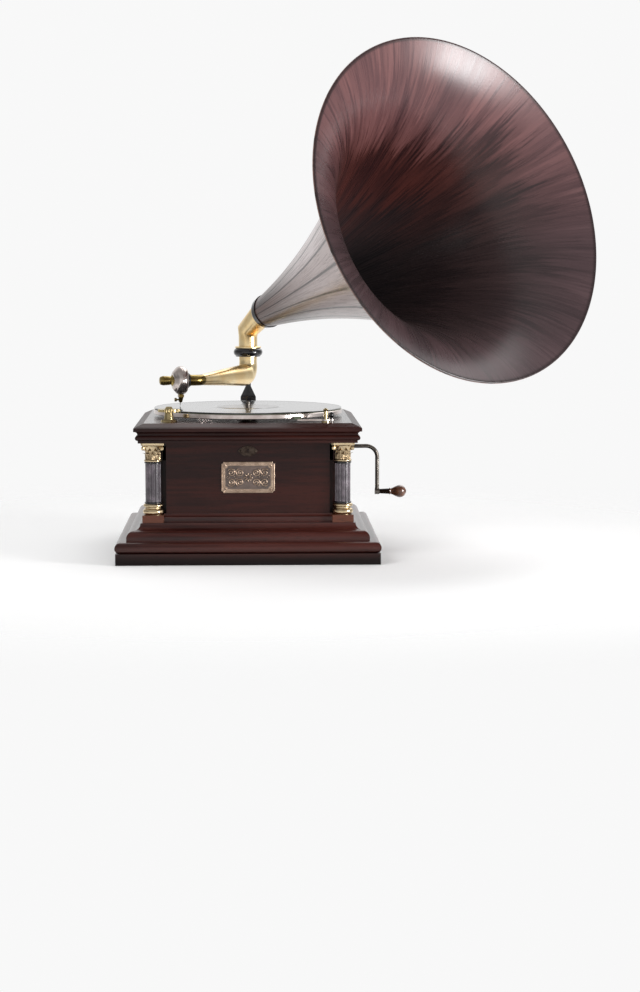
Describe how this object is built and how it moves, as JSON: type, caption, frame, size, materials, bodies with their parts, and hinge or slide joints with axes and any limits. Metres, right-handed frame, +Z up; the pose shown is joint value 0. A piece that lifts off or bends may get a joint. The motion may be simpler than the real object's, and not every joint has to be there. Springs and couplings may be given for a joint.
{
  "type": "horn gramophone",
  "caption": "Table gramophone: moulded mahogany case with gilt corner columns, spring motor, winding crank, turntable, tone arm with sound box and a swivelling flared wooden horn.",
  "frame": {"origin": "centre of the plinth's underside, straight below the turntable's spindle", "axes": "+Z up, the front with the name plate faces -Y, the winding crank is on the +X side"},
  "size_m": [0.7447, 0.6422, 0.7931],
  "materials": {
    "mahogany": "french polished",
    "red_mahogany": "french polished",
    "gilt": "gilded, polished",
    "ebonised": "black gloss",
    "gilt_brass": "polished and lacquered",
    "black_japan": "black gloss",
    "nickel": "polished nickel",
    "steel": "turned",
    "brass": "polished",
    "olive_brass": "aged",
    "plate_brass": "engraved and lacquered",
    "dark_bronze": "dark patina",
    "iron": "black oxide",
    "felt": "short pile",
    "shellac": "grooved gloss",
    "rubber": "matt",
    "mica": "clear sheet",
    "horn_wood": "varnished staves",
    "grip_wood": "varnished"
  },
  "bodies": {
    "case": {"plinth": "red_mahogany", "base_board": "mahogany", "front_panel": "mahogany", "back_panel": "mahogany", "left_panel": "mahogany", "right_panel": "mahogany", "corner_posts": "mahogany", "column_blocks": "red_mahogany", "column_bases": "gilt", "column_shafts": "ebonised", "column_capitals": "gilt", "lid_frame": "mahogany", "motor_board": "mahogany", "lid_hinges": "brass", "name_plate": "plate_brass", "lock_plate": "dark_bronze", "motor_plate": "iron", "lower_plate": "iron", "motor_pillars": "steel", "motor_bearings": "iron", "wrap_spring": "steel", "crank_bush": "brass", "regulator_dial": "brass", "brake_post": "brass", "horn_bracket": "black_japan", "bracket_screws": "steel"},
    "turntable": {"platter": "nickel", "platter_felt": "felt", "record": "shellac", "spindle": "steel", "spindle_pinion": "steel", "governor_wheel": "brass"},
    "barrel": {"spring_barrel": "brass", "great_wheel": "brass", "mainspring": "steel"},
    "arbor": {"barrel_arbor": "steel", "crown_wheel": "brass"},
    "crank": {"winding_shaft": "steel", "winding_pinion": "steel", "crank_rod": "steel"},
    "grip": {"crank_grip": "grip_wood"},
    "governor": {"governor_shaft": "steel", "governor_worm": "steel", "governor_weights": "brass", "governor_springs": "steel", "governor_disc": "brass"},
    "speed_arm": {"governor_brake": "steel"},
    "speed_knob": {"regulator_knob": "brass"},
    "brake": {"brake_lever": "nickel", "brake_knob": "black_japan"},
    "tonearm": {"tone_arm": "gilt_brass", "crook": "olive_brass"},
    "soundbox": {"box_rubbers": "rubber", "sound_box": "nickel", "diaphragm": "mica", "box_boss": "olive_brass", "needle_bar": "olive_brass"},
    "horn": {"horn_elbow": "gilt_brass", "horn_ferrule": "black_japan", "horn_bell": "horn_wood"}
  },
  "joints": [
    {"name": "platter_spin", "type": "hinge", "parent": "case", "child": "turntable", "pos_m": [0, 0, 0.2], "axis": [0, 0, 1], "continuous": true},
    {"name": "barrel_spin", "type": "hinge", "parent": "case", "child": "barrel", "pos_m": [0.0575, 0, 0.12], "axis": [0, 0, 1], "continuous": true},
    {"name": "governor_spin", "type": "hinge", "parent": "case", "child": "governor", "pos_m": [-0.029, 0, 0.178], "axis": [0, 1, 0], "continuous": true},
    {"name": "crank_spin", "type": "hinge", "parent": "case", "child": "crank", "pos_m": [0.15, 0, 0.164], "axis": [1, 0, 0], "continuous": true},
    {"name": "arbor_spin", "type": "hinge", "parent": "case", "child": "arbor", "pos_m": [0.0575, 0, 0.15], "axis": [0, 0, 1], "continuous": true},
    {"name": "grip_spin", "type": "hinge", "parent": "crank", "child": "grip", "pos_m": [0.235, 0, 0.0905], "axis": [1, 0, 0], "continuous": true},
    {"name": "horn_swivel", "type": "hinge", "parent": "case", "child": "horn", "pos_m": [0, 0.2, 0.32], "axis": [0, 0, 1], "range_deg": [-100, 100]},
    {"name": "arm_swing", "type": "hinge", "parent": "case", "child": "tonearm", "pos_m": [0, 0.2, 0.3], "axis": [0, 0, 1], "range_deg": [-20, 20]},
    {"name": "soundbox_turn", "type": "hinge", "parent": "tonearm", "child": "soundbox", "pos_m": [-0.09457, 0.02392, 0.269], "axis": [0.9659, 0.2588, 0], "range_deg": [0, 80]},
    {"name": "brake_swing", "type": "hinge", "parent": "case", "child": "brake", "pos_m": [0.12001, -0.137, 0.216], "axis": [0, 0, 1], "range_deg": [0, 8]},
    {"name": "speed_turn", "type": "hinge", "parent": "case", "child": "speed_knob", "pos_m": [-0.12198, -0.12198, 0.22], "axis": [0, 0, 1], "range_deg": [0, 180]},
    {"name": "speed_arm_turn", "type": "hinge", "parent": "case", "child": "speed_arm", "pos_m": [-0.066, -0.084, 0.178], "axis": [0, 0, 1], "range_deg": [-3.2, 0.2]}
  ],
  "couplings": [
    {"joint": "barrel_spin", "follows": "platter_spin", "ratio": -0.15},
    {"joint": "governor_spin", "follows": "platter_spin", "ratio": 15},
    {"joint": "arbor_spin", "follows": "crank_spin", "ratio": 0.25},
    {"joint": "speed_arm_turn", "follows": "speed_turn", "ratio": -0.016667}
  ]
}
